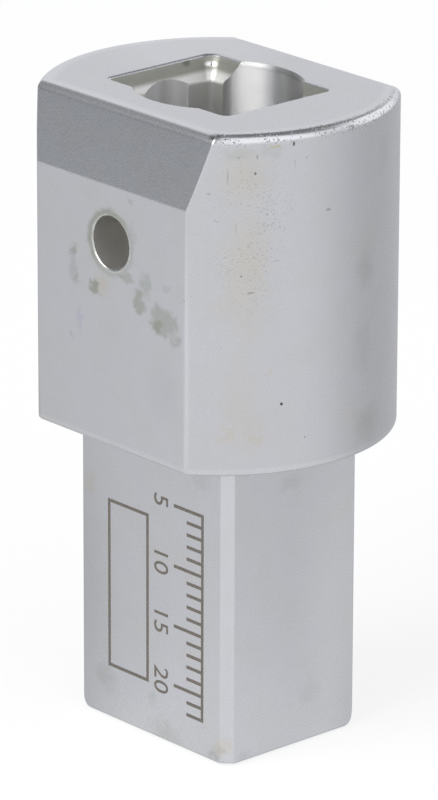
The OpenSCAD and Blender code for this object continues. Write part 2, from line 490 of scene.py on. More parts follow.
# Each mark's centre, its reach across and up, its strength and its softness.
MARKS = {
    Stain.PIT: (
        Mark((13.32, -4.32, 51.11), 0.12, 0.26, 0.9, 0.6),
        Mark((12.08, -7.08, 49.03), 0.12, 0.17, 0.7, 0.6),
        Mark((11.38, -8.15, 50.32), 0.11, 0.08, 0.5, 0.6),
        Mark((13.61, -3.30, 49.88), 0.12, 0.10, 0.35, 0.7),
        Mark((11.52, -7.95, 41.00), 0.11, 0.10, 0.6, 0.6),
        Mark((13.02, -5.13, 30.59), 0.15, 0.15, 1.0, 0.5),
        Mark((13.62, -3.24, 27.65), 0.10, 0.09, 0.5, 0.6),
        Mark((8.49, -11.0, 38.95), 0.10, 0.09, 0.4, 0.6),
        # Painted shade: a dark spot on the front crest's end, where a highlight would fall.
        Mark((9.9, -9.1, 51.75), 0.75, 0.35, 0.8, 0.8),
    ),
    Stain.WARM: (
        Mark((11.05, -8.60, 28.44), 1.1, 1.0, 1.0),
        Mark((12.18, -6.90, 27.86), 0.8, 0.7, 0.8),
        Mark((11.91, -7.35, 36.56), 0.5, 0.6, 0.8),
        Mark((12.59, -6.12, 33.26), 0.4, 0.5, 0.8),
        Mark((11.6, -7.8, 48.4), 3.2, 3.4, 0.8, 0.9),
        Mark((11.7, -7.7, 41.0), 2.8, 8.0, 0.8, 0.9),
        Mark((11.6, -7.8, 30.0), 2.2, 5.0, 0.5, 0.9),
        Mark((-1.0, -11.0, 37.9), 1.3, 1.3, 1.0, 0.8),
        Mark((8.4, -7.0, 1.3), 1.0, 0.9, 1.0),
        Mark((-7.2, -7.0, 19.1), 0.9, 1.4, 0.8),
    ),
    Stain.YELLOW: (
        Mark((12.80, -5.62, 51.08), 0.75, 0.14, 0.8),
        Mark((8.2, -11.1, 50.0), 1.6, 0.7, 0.35, 0.8),
    ),
    Stain.OLIVE: (
        Mark((13.7, 2.9, 39.9), 1.7, 2.6, 0.32, 0.95),
        Mark((13.6, 3.2, 27.4), 2.6, 2.4, 0.32, 0.95),
        Mark((-1.95, -11.0, 37.5), 0.85, 0.9, 0.9, 0.6),
        Mark((-4.26, -11.0, 40.0), 0.5, 0.8, 0.6, 0.8),
        Mark((-3.9, -11.0, 37.7), 0.5, 0.7, 0.5, 0.8),
        Mark((4.1, -11.0, 39.0), 1.0, 1.2, 0.45, 0.5),
        Mark((3.3, -11.0, 37.5), 0.95, 1.1, 0.7, 0.5),
        Mark((6.1, -11.0, 36.7), 1.9, 1.5, 0.6, 0.45),
        Mark((5.5, -11.0, 36.3), 1.2, 1.0, 0.95, 0.7),
        Mark((7.6, -11.0, 35.5), 0.8, 0.8, 0.5, 0.7),
        Mark((1.9, -11.0, 39.1), 1.3, 0.6, 0.5, 0.6),
        Mark((11.3, -8.2, 50.6), 2.2, 0.7, 0.22, 0.9),
        Mark((12.6, -6.0, 50.7), 1.6, 0.6, 0.22, 0.9),
        Mark((-5.5, -7.0, 3.2), 1.8, 1.6, 0.3, 0.95),
        Mark((0.3, -7.0, 3.2), 0.9, 0.8, 0.3, 0.9),
        Mark((1.8, -7.0, 0.8), 2.6, 1.2, 0.28, 0.9),
        Mark((7.6, -7.0, 0.6), 0.9, 1.0, 0.5, 0.8),
    ),
    Stain.GREY: (
        Mark((13.74, 2.7, 33.9), 1.7, 3.4, 0.3, 0.95),
        Mark((12.9, 5.3, 48.5), 1.4, 3.0, 0.2, 0.95),
        Mark((-4.5, -11.0, 38.8), 0.8, 2.6, 0.55, 0.9),
        Mark((2.3, -11.0, 45.3), 0.45, 0.5, 0.8, 0.8),
        Mark((2.6, -11.0, 42.6), 0.4, 2.2, 0.4, 0.8),
        Mark((6.5, -11.0, 39.5), 0.7, 0.45, 0.4, 0.8),
        Mark((7.85, -11.0, 44.9), 0.25, 0.2, 0.35, 0.7),
        Mark((-4.7, -11.0, 32.9), 0.4, 0.6, 0.4, 0.7),
        Mark((8.4, -7.0, 1.2), 0.5, 0.5, 0.4),
        Mark((6.0, -7.0, 22.8), 1.6, 1.2, 0.35, 0.9),
        Mark((9.0, -0.5, 22.0), 1.6, 0.9, 0.3, 0.9),
        Mark((9.0, 1.7, 4.1), 1.6, 1.8, 0.25, 0.95),
        Mark((9.0, -5.2, 0.6), 1.2, 0.6, 0.35, 0.9),
    ),
    Stain.BLUE: (
        Mark((-3.7, -11.0, 34.4), 0.45, 1.6, 0.7),
        Mark((6.0, -11.0, 31.0), 2.6, 3.5, 0.3, 0.9),
    ),
    # Painted shade: the darker left part of the spigot's front face, and a painted shadow under the head's
    # overhang.
    Stain.DULL: (
        Mark((-9.8, -7.0, 12.0), 7.2, 18.0, 0.85, 0.9),
        Mark((0.0, 0.0, 24.3), 100.0, 0.8, 0.5, 0.8),
    ),
    # Painted highlights: on the far part of the end face, on the spigot's +X side, as a pale ring round the
    # release hole, along the head's lower edge and along the front flat's edge with the turned side.
    Stain.BRIGHT: (
        Mark((-8.5, 4.5, 52.0), 8.0, 1.0, 0.5, 0.6),
        Mark((9.0, 5.0, 10.0), 6.0, 22.0, 0.9, 0.9),
        Mark((0.0, -11.0, 41.5), 2.42, 2.42, 1.0, 0.05),
        Mark((0.0, 0.0, 25.3), 100.0, 0.38, 0.55, 0.7),
        Mark((8.66, -11.0, 32.0), 0.4, 15.0, 0.7, 0.7),
    ),
    Stain.SCRATCH: (
        Mark((13.93, -1.3, 45.48), 0.32, 0.16, 0.8),
        Mark((11.93, -7.32, 39.66), 0.45, 0.09, 0.9),
        Mark((9.95, -9.85, 47.5), 0.25, 0.11, 0.6),
        Mark((10.9, -8.79, 48.84), 0.08, 0.75, 0.6),
        Mark((12.15, -6.95, 50.32), 0.11, 0.28, 0.7),
        Mark((12.84, -5.56, 42.04), 0.45, 0.08, 0.45),
        Mark((11.28, -8.29, 44.7), 0.07, 0.6, 0.4),
        Mark((13.35, -4.21, 49.56), 0.07, 0.45, 0.4),
        Mark((12.51, -6.29, 45.79), 0.2, 0.12, 0.4),
        Mark((11.82, -7.5, 46.55), 0.18, 0.09, 0.4),
        Mark((13.07, -5.02, 44.55), 0.07, 0.3, 0.35),
        Mark((10.36, -9.41, 45.35), 0.3, 0.1, 0.35),
        # Painted shade: a dark line along the spigot's foot, standing in for its contact shadow.
        Mark((0.0, 0.0, 0.0), 100.0, 0.25, 0.5, 0.8),
    ),
}
STEADY = (Stain.PIT, Stain.BRIGHT, Stain.SCRATCH)
SCUFFED = Mark((12.0, -7.2, 44.0), 4.5, 9.0, 0.4, 0.8)
# The first darkens the top of the socket as painted shade, with an olive tint; the other two are dark olive
# spots.
SOCKET_SPOTS_AND_SHADE = (
    (Stain.SCALE, Mark((0.0, 0.0, 52.0), 100.0, 1.4, 1.0, 0.35)),
    (Stain.SCALE, Mark((-6.9, 2.7, 51.7), 0.6, 0.4, 0.7)),
    (Stain.SCALE, Mark((-6.4, -3.5, 50.8), 0.6, 0.4, 0.7)),
)
# Painted shade dims the bore's upper lip, and a painted reflection gives the bright band on its back wall.
BORE_PAINTED_LIGHT = (
    (Stain.SCALE, Mark((0.0, 0.0, 52.0), 100.0, 0.5, 0.4, 0.4)),
    (Stain.BURNISHED, Mark((-0.4, 6.5, 45.0), 2.0, 30.0, 1.0, 0.7)),
)
WORN_CORNER = Mark((-6.5, 5.0, 51.3), 0.8, 0.3, 1.0, 0.8)


@dataclass(frozen=True)
class SatinChrome:
    """The plated steel of the body, with its discoloured spots, its pits, and its painted highlights and
    shade.
    """

    base: Colour = (0.585, 0.592, 0.60)
    roughness: float = 0.24
    roughness_swing: float = 0.08
    cloud_size: float = 1.6
    cloud: float = 0.05
    grain_size: float = 0.16
    grain: float = 0.03
    warmth: float = 0.25
    bump: float = 0.06
    sway: float = 1.7
    sway_scale: float = 1.1
    ring_sway: float = 0.7
    ring_centre: Place = (0.0, -11.0, 41.5)
    ring_reach: Pair = (2.35, 2.95)
    ring_softness: Pair = (0.12, 0.2)
    ring_depth: float = 1.5
    ring_hollow: float = 0.7
    ring_slope: Place = (-0.7, 0.0, 0.7)
    ring_slope_reach: Pair = (-2.0, 1.6)
    ring_strength: Pair = (0.4, 0.95)
    pitted_from: Place = (13.1, 50.9, 9.6)
    pitted_over: Place = (0.3, 0.6, 0.8)
    pit_scales: Pair = (5.0, 0.5)
    pit_patchiness: float = 0.3
    rim_pits: Pair = (0.60, 0.68)
    scuff_pits: Pair = (0.61, 0.68)
    pit_shade: float = 0.5
    pit_bump: float = 0.6
    pit_depth: float = 0.05
    polish: float = 1.10
    polish_reach: Pair = (15.1, 15.3)
    border_radii: Pair = (12.4, 13.1)
    border_depths: Pair = (8.2, 9.0)
    border_from: float = 51.8

    def build(self, shared: Shared) -> Material:
        """Builds the material. Small sharp marks stay in their places, the others sway a little.

        Args:
            shared: the node groups that finishes share.

        Returns:
            The material.
        """
        material, graph = shared.start(
            "satin_chrome", self.cloud_size, self.cloud, self.grain_size, self.grain)
        grain = graph.grain.outputs
        wobble = graph.noise(graph.place, self.sway_scale, 2.0).outputs["Color"]
        wobble = graph.vector("SUBTRACT", wobble, (0.5,) * 3)
        swayed, ring_place = (
            graph.vector("ADD", graph.place, graph.vector("MULTIPLY", wobble, (size,) * 3))
            for size in (self.sway, self.ring_sway))
        colour = graph.tint(1.0, self.base, grain["Shade"])
        colour = graph.tint(graph.times(grain["Warmth"], self.warmth), colour, Stain.WARM.value)
        # MARKS holds discoloured spots, pits and scratches, and also painted highlights, painted
        # reflections and painted shade.
        for kind, marks in MARKS.items():
            place = graph.place if kind in STEADY else swayed
            strongest: Input = 0.0
            for mark in marks:
                strongest = graph.maths("MAXIMUM", strongest, mark.mask(graph, place))
            colour = graph.tint(strongest, colour, kind.value)
        colour = graph.tint(self.ring(graph, ring_place), colour, Stain.OLIVE.value)
        # Painted highlight along the spigot's long edges and the end face's border.
        colour = graph.tint(self.rubbed(graph), colour, (self.polish,) * 3)
        pits = self.pits(graph)
        colour = graph.tint(graph.times(pits, self.pit_shade), colour, Stain.PIT.value)
        relief = graph.bump(self.bump, GRAIN_DEPTH, grain["Height"])
        sunk = graph.maths("SUBTRACT", 1.0, pits)
        relief = graph.bump(self.pit_bump, self.pit_depth, sunk, Normal=relief)
        rough = graph.maths("ADD", self.roughness, graph.times(grain["Grain"], self.roughness_swing))
        graph.shade({"Base Color": colour, "Metallic": 1.0, "Roughness": rough, "Normal": relief})
        return material

    def pits(self, graph: Surface) -> NodeSocket:
        """Fine pits along the rim of one turned side, where the plating is thin, and faint ones below.

        Args:
            graph: the material's graph.

        Returns:
            Their mask.
        """
        x, _, z, out = graph.parts(graph.place)
        rim: Input = 1.0
        for part, start, width in zip((out, z, x), self.pitted_from, self.pitted_over):
            rim = graph.times(rim, graph.ramp(part, start, start + width))
        fine, patchy = (graph.noise(graph.place, scale, 1.0).outputs[0] for scale in self.pit_scales)
        patchy = graph.times(graph.maths("SUBTRACT", patchy, 0.5), self.pit_patchiness)
        fine = graph.maths("ADD", fine, patchy)
        scuffed = SCUFFED.mask(graph, graph.place)
        return graph.maths("ADD", graph.times(rim, graph.ramp(fine, *self.rim_pits)),
                           graph.times(scuffed, graph.ramp(fine, *self.scuff_pits)), clamp=True)

    def ring(self, graph: Surface, place: NodeSocket) -> NodeSocket:
        """The discoloured ring round the release hole, strongest at its upper left.

        Args:
            graph: the material's graph.
            place: the place on the object, swayed a little.

        Returns:
            The ring's mask.
        """
        inner, outer = (graph.spot(place, self.ring_centre, (reach, self.ring_depth, reach), soft)
                        for reach, soft in zip(self.ring_reach, self.ring_softness))
        band = graph.maths("SUBTRACT", outer, graph.times(inner, self.ring_hollow), clamp=True)
        offset = graph.vector("SUBTRACT", place, self.ring_centre)
        upward = graph.vector("DOT_PRODUCT", offset, self.ring_slope)
        return graph.times(band, graph.ramp(upward, *self.ring_slope_reach, *self.ring_strength))

    def rubbed(self, graph: Surface) -> NodeSocket:
        """The spigot's long edges and the borders of the end face, lightened as a painted highlight.

        Args:
            graph: the material's graph.

        Returns:
            Their mask.
        """
        x, y, z, out = graph.parts(graph.place)
        across = graph.maths("ADD", graph.maths("ABSOLUTE", x), graph.maths("ABSOLUTE", y))
        edges = graph.times(graph.ramp(across, *self.polish_reach), graph.maths("LESS_THAN", z, SHOULDER_Z))
        border = graph.maths("MAXIMUM", graph.ramp(out, *self.border_radii),
                             graph.ramp(graph.times(y, -1.0), *self.border_depths))
        above = graph.maths("GREATER_THAN", z, self.border_from)
        return graph.maths("MAXIMUM", edges, graph.times(border, above))


@dataclass(frozen=True)
class BareSteel:
    """Machined steel without plating, used for bores and for the small parts."""

    name: str
    base: Colour
    roughness: float
    roughness_swing: float = 0.12
    cloud_size: float = 1.2
    cloud: float = 0.12
    grain_size: float = 0.12
    bump: float = 0.2
    turned: float = 0.0
    stains: tuple[tuple[Stain, Mark], ...] = ()
    worn: Mark | None = None
    worn_roughness: float = 0.15

    def build(self, shared: Shared) -> Material:
        """Builds the material. Turning marks spread its reflections, wear makes it shine, and its tints add
        dark spots, painted shade and a painted reflection.

        Args:
            shared: the node groups that finishes share.

        Returns:
            The material.
        """
        material, graph = shared.start(
            self.name, self.cloud_size, self.cloud, self.grain_size, self.cloud)
        grain = graph.grain.outputs
        colour = graph.tint(1.0, self.base, grain["Shade"])
        rough = graph.maths("ADD", self.roughness, graph.times(grain["Grain"], self.roughness_swing))
        shine: Input = 0.0
        if self.worn:
            shine = self.worn.mask(graph, graph.place)
            rough = graph.ramp(shine, 0.0, 1.0, rough, self.worn_roughness)
        # Dark spots, painted shade and a painted reflection, all kept off the worn spot.
        for kind, tint_mark in self.stains:
            share = graph.times(tint_mark.mask(graph, graph.place), graph.maths("SUBTRACT", 1.0, shine))
            colour = graph.tint(share, colour, kind.value)
        relief = graph.bump(self.bump, GRAIN_DEPTH, grain["Height"])
        graph.shade({"Base Color": colour, "Metallic": 1.0, "Roughness": rough, "Normal": relief})
        if self.turned:
            round_bore = graph.node("ShaderNodeTangent", direction_type="UV_MAP", uv_map=ROUND_MAP)
            graph.shade({"Anisotropic": self.turned, "Anisotropic Rotation": 0.25,
                         "Tangent": round_bore.outputs[0]})
        return material


@dataclass(frozen=True)
class EtchedMark:
    """The dark, matt surface of marks etched into the steel."""

    dark: Colour = (0.085, 0.073, 0.058)
    pale: Colour = (0.145, 0.13, 0.11)
    pale_from: Pair = (0.35, 0.7)
    roughness: float = 0.6
    cloud_size: float = 0.8
    cloud: float = 0.3
    grain_size: float = 0.1
    grain: float = 0.2

    def build(self, shared: Shared) -> Material:
        """Builds the material.

        Args:
            shared: the node groups that finishes share.

        Returns:
            The material.
        """
        material, graph = shared.start(
            "etched_mark", self.cloud_size, self.cloud, self.grain_size, self.grain)
        paleness = graph.ramp(graph.grain.outputs["Grain"], *self.pale_from)
        colour = graph.mix(paleness, self.dark, self.pale)
        graph.shade({"Base Color": colour, "Metallic": 0.0, "Roughness": self.roughness})
        return material


# Pieces


@dataclass
class AdapterBody:
    """Head and spigot, machined from one bar, with the socket, release hole and pin bore."""

    chrome: Material
    socket_steel: Material
    turned_steel: Material
    drilled_steel: Material
    shoulder_z: float = SHOULDER_Z
    top_z: float = TOP_Z
    head_radius: float = 14.0
    half_flats: float = 11.0
    lean_degrees: float = 14.0
    front_lean_height: float = 6.0
    back_lean_height: float = 4.0
    lean_blend: float = 0.12
    wall_levels: tuple[float, ...] = (30.0, 36.0, 41.0, 49.2, 50.3)
    rim_round: float = 0.7
    heel_round: float = 0.28
    front_crest_round: float = 0.65
    back_crest_round: float = 0.3
    fall_width: float = 0.8
    fall_drop: float = 0.015
    edge_round: float = 0.3
    lean_edge_round: float = 0.2
    lean_edge_reach: float = 0.5
    top_corner_round: float = 0.25
    heel_corner_round: float = 0.9
    corner_height: float = 1.2
    half_spigot: Pair = (9.0, 7.0)
    spigot_corners: Four = (0.7, 0.7, 0.95, 0.7)
    spigot_corner_round: float = 0.25
    spigot_end_round: float = 0.2
    foot_corners: Four = (0.9, 0.9, 0.9, 0.35)
    least_round: float = 0.03
    half_socket: Pair = (6.05, 4.55)
    mouth_reach: Four = (7.0, 5.75, 7.15, 5.5)
    mouth_profile: tuple[Pair, ...] = (
        (0.0, 2.0), (0.06, 1.7), (0.41, 1.1), (0.64, 0.45), (0.71, 0.28), (0.78, 0.16), (0.87, 0.06),
        (1.0, 0.0))
    mouth_plated: float = 0.2
    socket_corner: float = 0.5
    mouth_corners: Four = (0.45, 1.2, 0.4, 0.8)
    socket_floor_z: float = 34.0
    pilot_radius: float = 6.5
    pilot_floor_z: float = 32.0
    pilot_lip: tuple[Pair, ...] = ((0.0, 0.4), (0.1, 0.12), (0.24, 0.0))
    drill_half_angle: float = 59.0
    release_radius: float = 2.1
    release_z: float = 41.5
    release_lip: float = 0.15
    release_length: float = 4.0
    lip_end_degrees: float = 75.0
    pin_z: float = PIN_Z
    pin_bore_radius: float = 4.0
    pin_bore_y: Pair = (-3.5, 7.0)
    overrun: float = 1.0
    arc_steps: int = 40
    corner_steps: int = 6
    chamfer_steps: int = 4
    flat_steps: int = 10
    round_steps: int = 10
    bore_steps: int = 128
    closed_gap: float = 1e-4
    fall_shares: tuple[float, ...] = (0.75, 0.5, 0.25, 0.0)
    bend_shares: tuple[float, ...] = (-1.0, -0.5, 0.0, 0.5, 1.0)

    def build(self) -> Object:
        """Builds the body and puts it in the place of its CAD node.

        Returns:
            The finished body.
        """
        body = solid("adapter_body_skin", lofted([self.head_outline(z) for z in self.head_levels()]),
                     [self.chrome, self.socket_steel, self.turned_steel, self.drilled_steel])
        carve(body, solid("spigot", self.spigot(), [self.chrome]), Carve.JOIN)
        for name, tool, steel in self.tools():
            carve(body, solid(name, tool, [steel, self.chrome]), Carve.CUT)
        self.clean(body)
        self.unroll(body)
        finish_piece(body, "adapter")
        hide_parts("adapter_body")
        return body

    def head_levels(self) -> list[float]:
        """Heights of the head's outlines, close together where an edge is round.

        Returns:
            The heights from the shoulder up.
        """
        turns = spread(0.0, math.pi / 2, self.round_steps)
        heel = [self.shoulder_z + self.heel_round * (1 - math.cos(turn)) for turn in turns[::2]]
        fall_z = self.top_z - self.fall_drop
        rim = [fall_z - self.rim_round * (1 - math.cos(turn)) for turn in reversed(turns)]
        fall = [self.top_z - self.fall_drop * share * share for share in self.fall_shares]
        bends = [self.top_z - height + self.lean_blend * share
                 for height in (self.front_lean_height, self.back_lean_height)
                 for share in self.bend_shares]
        return sorted([*heel, *self.wall_levels, *bends, *rim, *fall])

    def rounding(self, z: float, size: float) -> float:
        """How far a round upper edge draws the outline in, with the end face's gentle fall towards it.

        Args:
            z: the height.
            size: the radius of the edge.

        Returns:
            The distance at that height.
        """
        depth = self.top_z - z
        if depth < self.fall_drop:
            return size + self.fall_width * (1 - math.sqrt(max(depth, 0.0) / self.fall_drop))
        return drawn_in(size, depth - self.fall_drop)

    def heel(self, z: float) -> float:
        """How far the round lower edge draws the outline in at a height."""
        return drawn_in(self.heel_round, z - self.shoulder_z)

    def turned_radius(self, z: float) -> float:
        """The radius of the head's turned sides at a height."""
        return self.head_radius - self.rounding(z, self.rim_round) - self.heel(z)

    def half_width(self, side: Side, z: float) -> float:
        """Distance of a milled side from the middle.

        Args:
            side: front or back.
            z: the height.

        Returns:
            The distance there.
        """
        height, crest = ((self.front_lean_height, self.front_crest_round) if side is Side.FRONT
                         else (self.back_lean_height, self.back_crest_round))
        above = z - (self.top_z - height)
        blend = self.lean_blend
        rise = (above + blend) ** 2 / (4 * blend) if abs(above) < blend else max(above, 0.0)
        width = self.half_flats - rise * math.tan(math.radians(self.lean_degrees))
        return width - self.rounding(z, crest) - self.heel(z)

    def corner_size(self, z: float) -> float:
        """Radius of the edges between milled and turned sides, which tumbling rounds at the shoulder.

        Args:
            z: the height.

        Returns:
            The radius there.
        """
        lean_z, reach = self.top_z - self.front_lean_height, self.lean_edge_reach
        lean = eased(z, lean_z - reach, lean_z + reach)
        top = eased(z, self.top_z - self.corner_height, self.top_z)
        heel = eased(-z, -self.shoulder_z - self.corner_height, -self.shoulder_z)
        size = self.edge_round + (self.lean_edge_round - self.edge_round) * lean
        return size + (self.top_corner_round - size) * top + (self.heel_corner_round - size) * heel

    def head_outline(self, z: float) -> list[Vector]:
        """The head's outline at one height: two arcs and two flats with rounded corners.

        Args:
            z: the height.

        Returns:
            Its points, counter-clockwise from the middle of the +X arc.
        """
        radius, corner, half = self.turned_radius(z), self.corner_size(z), self.arc_steps
        back_y, front_y = self.half_width(Side.BACK, z), self.half_width(Side.FRONT, z)
        back_x, front_x = (math.sqrt((radius - corner) ** 2 - (y - corner) ** 2) for y in (back_y, front_y))
        back, front = (math.degrees(math.atan2(y - corner, x))
                       for x, y in ((back_x, back_y), (front_x, front_y)))
        steps = self.corner_steps
        middle = (0.0, 0.0)
        return [
            *arc(middle, radius, 0, back, half, z)[:-1],
            *arc((back_x, back_y - corner), corner, back, 90, steps, z),
            *self.flat(back_x, back_y, z),
            *arc((-back_x, back_y - corner), corner, 90, 180 - back, steps, z),
            *arc(middle, radius, 180 - back, 180, half, z)[1:],
            *arc(middle, radius, 180, 180 + front, half, z)[1:-1],
            *arc((-front_x, corner - front_y), corner, 180 + front, 270, steps, z),
            *self.flat(-front_x, -front_y, z),
            *arc((front_x, corner - front_y), corner, 270, 360 - front, steps, z),
            *arc(middle, radius, 360 - front, 360, half, z)[1:-1],
        ]

    def flat(self, start_x: float, y: float, z: float) -> list[Vector]:
        """Points on a flat from start_x to its mirror, without the two ends."""
        return [Vector((start_x * (1 - 2 * step / self.flat_steps), y, z))
                for step in range(1, self.flat_steps)]

    def spigot(self) -> BMesh:
        """The spigot with chamfered long edges and a rounded end, whose four corners are worn rounder.

        Returns:
            The solid, reaching a little into the head.
        """
        levels = {size * (1 - math.cos(turn)) for size in (self.spigot_end_round, *self.foot_corners)
                  for turn in spread(0.0, math.pi / 2, self.corner_steps)}
        return lofted([self.spigot_outline(z) for z in [*sorted(levels), self.shoulder_z + self.overrun]])

    def spigot_outline(self, z: float) -> list[Vector]:
        """The spigot's outline, with soft borders on its four chamfers.

        Args:
            z: the height.

        Returns:
            Its points, counter-clockwise from the +X side.
        """
        inset, *extra = (drawn_in(size, z) for size in (self.spigot_end_round, *self.foot_corners))
        half_x, half_y = (half - inset for half in self.half_spigot)
        size, steps = max(self.spigot_corner_round - inset, self.least_round), self.chamfer_steps
        reach = size * math.tan(math.radians(22.5))
        points = []
        for quarter, corner in enumerate(self.spigot_corners):
            leg = corner + extra[quarter] - (2 - math.sqrt(2)) * inset
            wide, deep = (half_x, half_y) if quarter % 2 == 0 else (half_y, half_x)
            turn = Matrix.Rotation(quarter * math.pi / 2, 3, "Z")
            first = arc((wide - size, deep - leg - reach), size, 0, 45, steps, z)
            second = arc((wide - leg - reach, deep - size), size, 45, 90, steps, z)
            points += [turn @ point for point in first + second]
        return points

    def tools(self) -> list[tuple[str, BMesh, Material]]:
        """The solids that are cut out of the body.

        Returns:
            Each tool's name and mesh, and the steel of the faces that it cuts.
        """
        above = self.top_z + self.overrun
        point_z = self.pilot_floor_z - self.pilot_radius / math.tan(math.radians(self.drill_half_angle))
        lip = [(self.pilot_radius + out, self.top_z - depth) for out, depth in self.pilot_lip]
        pilot = turned([(0.0, point_z), (self.pilot_radius, self.pilot_floor_z), *lip, (lip[-1][0], above),
                        (0.0, above)], self.bore_steps)
        floor_y, face_y = self.pin_bore_y
        length = face_y - floor_y + self.overrun
        pin_bore = turned([(0.0, 0.0), (self.pin_bore_radius, 0.0), (self.pin_bore_radius, length),
                           (0.0, length)], self.bore_steps)
        pin_bore.transform(along_y(Side.BACK, (0.0, floor_y, self.pin_z)))
        return [("socket_tool", self.socket(), self.socket_steel), ("pilot_tool", pilot, self.turned_steel),
                ("release_tool", self.release_hole(), self.drilled_steel),
                ("pin_bore_tool", pin_bore, self.drilled_steel)]

    def socket(self) -> BMesh:
        """The rectangular socket with its steep lead-in, whose upper edge keeps its plating.

        Returns:
            The tool that cuts it.
        """
        rings = [self.socket_outline(share, self.top_z - depth) for share, depth in self.mouth_profile]
        tool = lofted([self.socket_outline(0.0, self.socket_floor_z), *rings,
                       self.socket_outline(1.0, self.top_z + self.overrun)])
        for face in tool.faces:
            face.material_index = int(face.calc_center_median().z > self.top_z - self.mouth_plated)
        return tool

    def socket_outline(self, share: float, z: float) -> list[Vector]:
        """The socket's outline with its four rounded corners.

        Args:
            share: how wide it is, from 0 for the socket's own size to 1 for its mouth.
            z: the height.

        Returns:
            Its points, counter-clockwise from the +X side.
        """
        reach = [inner + (outer - inner) * share
                 for inner, outer in zip(self.half_socket * 2, self.mouth_reach)]
        points = []
        for quarter, (side_x, side_y) in enumerate(((1, 1), (-1, 1), (-1, -1), (1, -1))):
            half_x, half_y = reach[1 - side_x], reach[2 - side_y]
            size = self.socket_corner + (self.mouth_corners[quarter] - self.socket_corner) * share
            centre = (side_x * (half_x - size), side_y * (half_y - size))
            points += arc(centre, size, 90 * quarter, 90 * (quarter + 1), self.corner_steps, z)
        return points

    def release_hole(self) -> BMesh:
        """The hole through the front wall, with a small rounded lip that keeps its plating.

        Returns:
            The tool that cuts it.
        """
        radius, lip = self.release_radius, self.release_lip
        end = math.radians(self.lip_end_degrees)
        turns = spread(0.0, end, self.corner_steps)
        rounded = [(radius + lip * (1 - math.cos(turn)), -lip * (1 - math.sin(turn)))
                   for turn in turns]
        outside = (rounded[-1][0] + self.overrun * math.tan(end), rounded[-1][1] + self.overrun)
        hole = turned([(0.0, -self.release_length), (radius, -self.release_length), *rounded, outside,
                       (0.0, outside[1])], self.bore_steps)
        for face in hole.faces:
            face.material_index = int(face.calc_center_median().z > -lip)
        hole.transform(along_y(Side.FRONT, (0.0, -self.half_flats, self.release_z)))
        return hole

    def clean(self, body: Object) -> None:
        """Closes the tiny gaps that cutting leaves.

        Args:
            body: the carved body.
        """
        bm = bmesh.new()
        bm.from_mesh(body.data)
        bmesh.ops.remove_doubles(bm, verts=bm.verts, dist=self.closed_gap)
        bmesh.ops.dissolve_degenerate(bm, edges=bm.edges, dist=self.closed_gap)
        bm.to_mesh(body.data)
        bm.free()

    def unroll(self, body: Object) -> None:
        """Lays a map round the Z axis, which the turning marks in the socket follow.

        Args:
            body: the carved body.
        """
        mesh = body.data
        layer = mesh.uv_layers.new(name=ROUND_MAP)
        for face in mesh.polygons:
            middle = math.atan2(face.center.y, face.center.x)
            for corner in face.loop_indices:
                place = mesh.vertices[mesh.loops[corner].vertex_index].co
                turn = math.remainder(math.atan2(place.y, place.x) - middle, math.tau)
                layer.data[corner].uv = ((middle + turn) / math.tau, place.z / self.top_z)


@dataclass
class RetainingSleeve:
    """The ring pressed into the mouth of the pin bore."""

    steel: Material
    outer_radius: float = 4.0
    inner_radius: float = 2.8
    span_y: Pair = (4.9, 6.9)
    lip: float = 0.2
    lip_crown: Pair = (0.06, 0.02)
    inner_bevel: float = 0.2 / 3
    pin_z: float = PIN_Z
    steps: int = 96

    def build(self) -> Object:
        """Builds the sleeve and puts it in the place of its CAD node.

        Returns:
            The finished sleeve.
        """
        length = self.span_y[1] - self.span_y[0]
        inner, outer, (crown_in, crown_down) = self.inner_radius, self.outer_radius, self.lip_crown
        ring = turned([(inner, 0.0), (outer, 0.0), (outer, length - self.lip),
                       (outer - crown_in, length - crown_down), (outer - self.lip, length),
                       (inner + self.inner_bevel, length), (inner, length - self.inner_bevel)],
                      self.steps, closed=True)
        ring.transform(along_y(Side.BACK, (0.0, self.span_y[0], self.pin_z)))
        sleeve = solid("retaining_sleeve_ring", ring, [self.steel])
        finish_piece(sleeve, "adapter")
        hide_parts("retaining_sleeve")
        return sleeve


@dataclass
class LockingPin:
    """The sprung pin with its rounded tip, stop collar and tail."""

    steel: Material
    radius: float = 2.75
    tail_y: float = 1.9
    collar_y: Pair = (3.9, 4.9)
    collar_radius: float = 3.95
    tip_y: float = 9.5
    tip_height: float = 1.2
    edge: float = 0.12
    pin_z: float = PIN_Z
    steps: int = 96
    tip_steps: int = 14

    def build(self) -> Object:
        """Builds the pin and puts it in the place of its CAD node.

        Returns:
            The finished pin.
        """
        low, high = (y - self.tail_y for y in self.collar_y)
        radius, collar, edge = self.radius, self.collar_radius, self.edge
        profile = [(0.0, 0.0), (radius - edge, 0.0), (radius, edge), (radius, low), (collar - edge, low),
                   (collar, low + edge), (collar, high - edge), (collar - edge, high), (radius, high),
                   *self.tip()]
        body = turned(profile, self.steps)
        body.transform(along_y(Side.BACK, (0.0, self.tail_y, self.pin_z)))
        pin = solid("locking_pin_steel", body, [self.steel])
        finish_piece(pin, "pin")
        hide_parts("locking_pin")
        return pin

    def tip(self) -> list[Pair]:
        """The tip's dome from its rim to the axis.

        Returns:
            Radius and height of each point, the last on the axis.
        """
        ball = (self.radius ** 2 + self.tip_height ** 2) / (2 * self.tip_height)
        height = self.tip_y - self.tail_y
        widest = math.asin(self.radius / ball)
        points = []
        for share in spread(1.0, 0.0, self.tip_steps):
            angle = widest * share
            points.append((ball * math.sin(angle), height - ball * (1 - math.cos(angle))))
        return points


